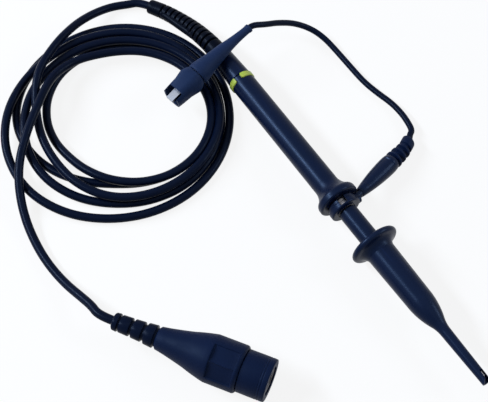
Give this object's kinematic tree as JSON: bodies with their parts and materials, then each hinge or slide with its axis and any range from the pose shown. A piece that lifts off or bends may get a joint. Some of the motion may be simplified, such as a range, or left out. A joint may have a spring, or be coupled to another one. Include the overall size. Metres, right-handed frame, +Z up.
{
  "type": "oscilloscope probe",
  "caption": "Oscilloscope probe: slim barrel with finger guard, spring hook tip, swivelling ground lead with crocodile clip, coiled coaxial cable and bayonet plug.",
  "frame": {"origin": "on the table under the middle of the probe head, half way between the rear cap's back and the tip of the hook sleeve", "axes": "+X along the probe head to its tip, +Z up from the table, +Y to the side where the ground lead lies; the cable coil and plug lie to the -Y side"},
  "size_m": [0.2398, 0.169, 0.0226],
  "materials": {
    "black_moulding": "satin black moulding with a navy tint",
    "soft_moulding": "soft satin black",
    "cable_jacket": "smooth satin black jacket",
    "yellow_plastic": "glossy lime yellow",
    "plated_steel": "bright plated steel",
    "nickel": "nickel plated",
    "gold_plated_brass": "gold plated",
    "white_insulation": "milky white",
    "circuit_board": "green board lacquer",
    "component_ceramic": "tan component body"
  },
  "bodies": {
    "probe": {"barrel": "black_moulding", "cable_coil": "cable_jacket", "cable_core": "white_insulation", "cable_ferrule": "nickel", "cable_lead_in": "cable_jacket", "cable_tail": "cable_jacket", "circuit_board": "circuit_board", "clip_boot": "soft_moulding", "clip_front_boot": "soft_moulding", "clip_lower_jaw": "plated_steel", "clip_pivot_pin": "plated_steel", "clip_spring": "plated_steel", "compensation_board": "circuit_board", "ground_sleeve": "nickel", "ground_wire": "cable_jacket", "input_capacitor": "component_ceramic", "input_resistor": "component_ceramic", "marker_ring": "yellow_plastic", "nose_insulator": "black_moulding", "plug_body": "nickel", "plug_centre_pin": "gold_plated_brass", "plug_contact_sleeve": "nickel", "plug_ferrule": "nickel", "plug_gasket": "soft_moulding", "plug_housing": "black_moulding", "plug_insulator": "white_insulation", "plug_shell_end": "nickel", "plug_strain_relief": "soft_moulding", "plug_wave_washer": "plated_steel", "probe_strain_relief": "soft_moulding", "probe_tip_pin": "gold_plated_brass", "rear_cap": "black_moulding", "shield_tube": "nickel", "trimmer_body": "component_ceramic"},
    "hook": {"hook_cap": "black_moulding", "hook_contact": "gold_plated_brass", "hook_wire": "plated_steel", "hook_spring": "plated_steel"},
    "sleeve": {"hook_sleeve": "black_moulding"},
    "ground_lead": {"ground_collar": "black_moulding", "ground_contact": "nickel", "lead_grip": "black_moulding", "lead_strain_relief": "soft_moulding"},
    "upper_jaw": {"clip_upper_jaw": "plated_steel"},
    "coupling": {"coupling_sleeve": "black_moulding", "bayonet_nut": "nickel"},
    "trimmer": {"trimmer_screw": "gold_plated_brass"}
  },
  "joints": [
    {"name": "hook_pull_off", "type": "slide", "parent": "probe", "child": "hook", "axis": [1, 0, 0], "range_m": [0, 0.028]},
    {"name": "sleeve_slide", "type": "slide", "parent": "hook", "child": "sleeve", "axis": [-1, 0, 0], "range_m": [0, 0.01], "stiffness_N_per_m": 300, "springref_m": -0.004, "deforming": ["hook_spring"]},
    {"name": "ground_lead_swing", "type": "hinge", "parent": "probe", "child": "ground_lead", "pos_m": [0.00155, 0, 0.01055], "axis": [1, 0, 0], "range_deg": [-20, 60]},
    {"name": "clip_jaw", "type": "hinge", "parent": "probe", "child": "upper_jaw", "pos_m": [-0.08421, -0.0141, 0.01612], "axis": [-0.9807, -0.1953, 0], "range_deg": [0, 15], "stiffness_Nm_per_rad": 0.01, "springref_deg": -28.65, "deforming": ["clip_front_boot"]},
    {"name": "coupling_turn", "type": "hinge", "parent": "probe", "child": "coupling", "pos_m": [0.03911, -0.07081, 0.0093], "axis": [0.8295, 0.5585, 0], "continuous": true},
    {"name": "trimmer_turn", "type": "hinge", "parent": "probe", "child": "trimmer", "pos_m": [0.02833, -0.07807, 0.0093], "axis": [-0.191, 0.2837, -0.9397], "continuous": true}
  ]
}
